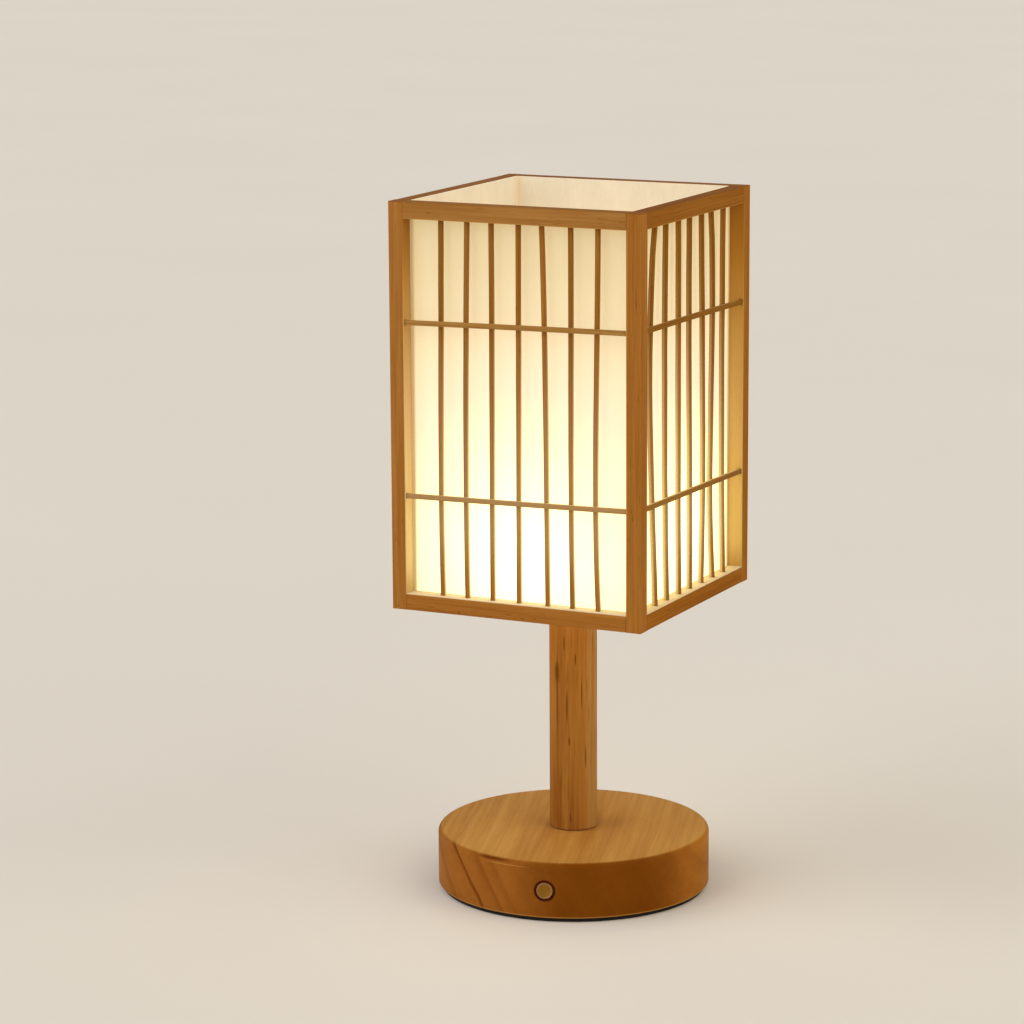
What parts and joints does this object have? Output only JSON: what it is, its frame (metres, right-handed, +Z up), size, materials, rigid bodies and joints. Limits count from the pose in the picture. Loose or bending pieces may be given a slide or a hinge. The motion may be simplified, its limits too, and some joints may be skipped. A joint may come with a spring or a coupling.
{
  "type": "table lamp",
  "caption": "Cordless bamboo table lamp: square lattice shade with a pale liner, round wooden post and disc base, push button on the base rim.",
  "frame": {"origin": "centre of the base's foot, on the surface the lamp stands on", "axes": "+Z up along the post, the shade's front face looks along -Y and its right face along +X"},
  "size_m": [0.15, 0.15, 0.3844],
  "materials": {
    "base_wood": "oiled, satin, broad flat-sawn grain",
    "post_wood": "oiled, satin, straight grain with dark flecks",
    "frame_bamboo": "planed, satin, fine straight grain",
    "stick_bamboo": "split and scraped, satin",
    "cross_wood": "planed, raw",
    "liner_sheet": "matt translucent sheet, lit from inside",
    "milky_plastic": "milky, lit from inside",
    "white_plastic": "moulded, matt",
    "black_plastic": "moulded, matt",
    "black_foam": "fine foam",
    "black_steel": "black powder coat",
    "dark_bronze": "dark bronze, satin",
    "button_brass": "brushed, satin",
    "steel": "zinc plated",
    "board_green": "circuit board with solder mask",
    "board_white": "white metal-core board",
    "cell_sleeve": "shrink sleeve",
    "red_wire": "insulated wire",
    "black_wire": "insulated wire"
  },
  "bodies": {
    "lamp": {"base_disc": "base_wood", "foot_pad": "black_foam", "bottom_cover": "black_steel", "cover_screw_1": "steel", "cover_screw_2": "steel", "cover_screw_3": "steel", "cover_screw_4": "steel", "button_bezel": "dark_bronze", "button_spring": "steel", "switch_nut": "steel", "switch_contact_block": "black_plastic", "charging_socket": "black_plastic", "charging_socket_nut": "steel", "charging_tongue": "black_plastic", "battery_holder": "black_plastic", "battery_cell": "cell_sleeve", "battery_contact_positive": "steel", "battery_contact_negative": "steel", "control_board": "board_green", "board_screw_1": "steel", "board_screw_2": "steel", "battery_wire_positive": "red_wire", "battery_wire_negative": "black_wire", "switch_wire_1": "red_wire", "switch_wire_2": "black_wire", "charging_wire_1": "red_wire", "charging_wire_2": "black_wire", "led_wire_positive": "red_wire", "led_wire_negative": "black_wire", "base_washer": "steel", "base_nut": "steel", "lamp_post": "post_wood", "threaded_tube": "steel", "cross_bar_wide": "cross_wood", "cross_bar_deep": "cross_wood", "shade_washer": "steel", "shade_nut": "steel", "light_cup": "white_plastic", "light_cup_nut": "steel", "led_board": "board_white", "diffuser_dome": "milky_plastic", "corner_post_front_left": "frame_bamboo", "corner_post_front_right": "frame_bamboo", "corner_post_back_right": "frame_bamboo", "corner_post_back_left": "frame_bamboo", "top_rail_front": "frame_bamboo", "top_rail_right": "frame_bamboo", "top_rail_back": "frame_bamboo", "top_rail_left": "frame_bamboo", "bottom_rail_front": "frame_bamboo", "bottom_rail_right": "frame_bamboo", "bottom_rail_back": "frame_bamboo", "bottom_rail_left": "frame_bamboo", "lattice_front": "stick_bamboo", "lattice_right": "stick_bamboo", "lattice_back": "stick_bamboo", "lattice_left": "stick_bamboo", "shade_liner": "liner_sheet"},
    "button": {"power_button": "button_brass"}
  },
  "joints": [
    {"name": "button_press", "type": "slide", "parent": "lamp", "child": "button", "axis": [-0.225, 0.9744, 0], "range_m": [0, 0.0012], "stiffness_N_per_m": 400, "springref_m": -0.002, "deforming": ["button_spring"]}
  ]
}
